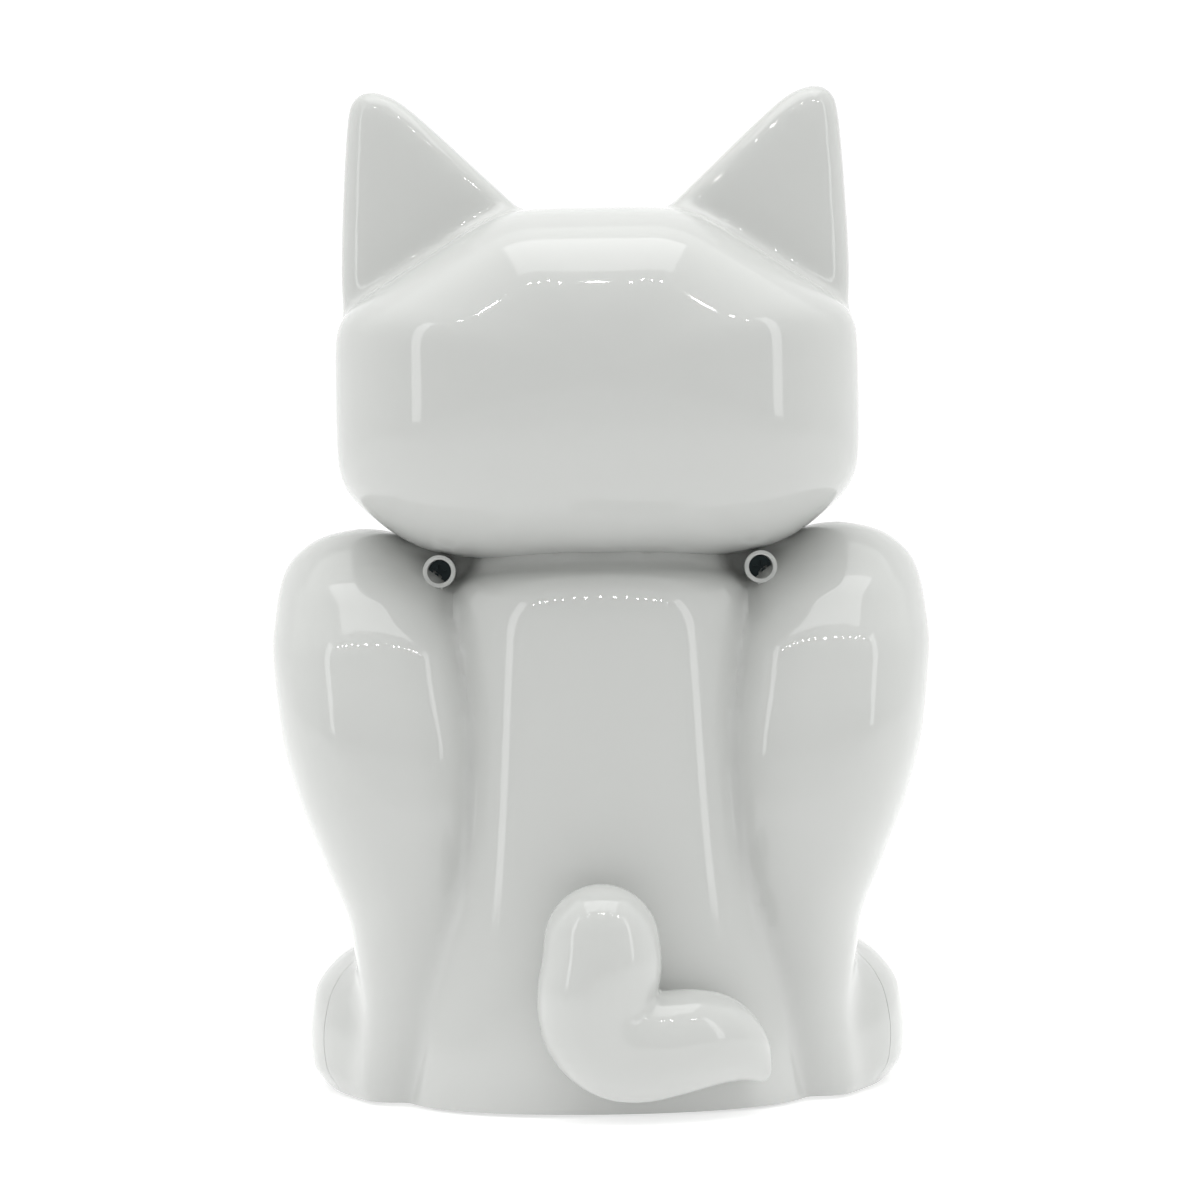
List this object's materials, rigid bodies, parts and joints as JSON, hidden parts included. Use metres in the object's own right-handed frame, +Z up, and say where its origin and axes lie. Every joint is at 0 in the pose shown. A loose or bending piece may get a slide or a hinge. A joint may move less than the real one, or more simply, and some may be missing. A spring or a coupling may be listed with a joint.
{
  "type": "beckoning cat figurine",
  "caption": "Hollow plastic cat figurine seated on its haunches, with a raised arm rocked by a battery-driven pendulum inside the body.",
  "frame": {"origin": "on the ground under the middle of the figure's bounding box", "axes": "+Z up, the cat faces -Y, +X is the cat's left"},
  "size_m": [0.098, 0.087, 0.1496],
  "materials": {
    "white_plastic": "glossy moulded ABS",
    "inner_plastic": "as moulded",
    "black_steel": "black oxide",
    "bright_steel": "zinc plated",
    "magnet_metal": "nickel plated",
    "copper_winding": "enamelled copper wire",
    "board_laminate": "solder-masked laminate",
    "chip_black": "moulded epoxy",
    "capacitor_sleeve": "shrink sleeve",
    "cell_can": "plain wrapped can",
    "pad_rubber": "matt rubber",
    "red_sleeve": "wire insulation",
    "black_sleeve": "wire insulation"
  },
  "bodies": {
    "figure": {"head_rear_shell": "white_plastic", "head_front_shell": "white_plastic", "body_rear_shell": "white_plastic", "body_front_shell": "white_plastic", "tail": "white_plastic", "neck_spool": "inner_plastic", "base_plate": "white_plastic", "battery_cell": "cell_can", "battery_spring": "bright_steel", "battery_contact_plate": "bright_steel", "circuit_board": "board_laminate", "coil_bobbin": "inner_plastic", "drive_coil": "copper_winding", "drive_chip": "chip_black", "capacitor": "capacitor_sleeve", "battery_wire_positive": "red_sleeve", "battery_wire_negative": "black_sleeve", "switch_body": "chip_black", "axle_bracket_left": "inner_plastic", "axle_bracket_right": "inner_plastic", "shoulder_screw_left": "black_steel", "shoulder_screw_right": "black_steel", "base_screw_front_left": "bright_steel", "rubber_pad_front_left": "pad_rubber", "base_screw_front_right": "bright_steel", "rubber_pad_front_right": "pad_rubber", "base_screw_rear_left": "bright_steel", "rubber_pad_rear_left": "pad_rubber", "base_screw_rear_right": "bright_steel", "rubber_pad_rear_right": "pad_rubber"},
    "arm": {"waving_arm_outer": "white_plastic", "waving_arm_inner": "white_plastic", "arm_axle": "bright_steel", "pendulum_lever": "inner_plastic", "counterweight": "bright_steel", "pendulum_magnet": "magnet_metal", "axle_clip": "bright_steel"},
    "battery_door": {"battery_door": "white_plastic"},
    "switch": {"switch_slider": "chip_black"}
  },
  "joints": [
    {"name": "arm_swing", "type": "hinge", "parent": "figure", "child": "arm", "pos_m": [0, -0.012, 0.062], "axis": [1, 0, 0], "range_deg": [-10, 10]},
    {"name": "battery_door_hinge", "type": "hinge", "parent": "figure", "child": "battery_door", "pos_m": [-0.0244, 0.003, 0.0014], "axis": [0, 1, 0], "range_deg": [0, 75]},
    {"name": "switch_slide", "type": "slide", "parent": "figure", "child": "switch", "axis": [1, 0, 0], "range_m": [0, 0.0025]}
  ]
}
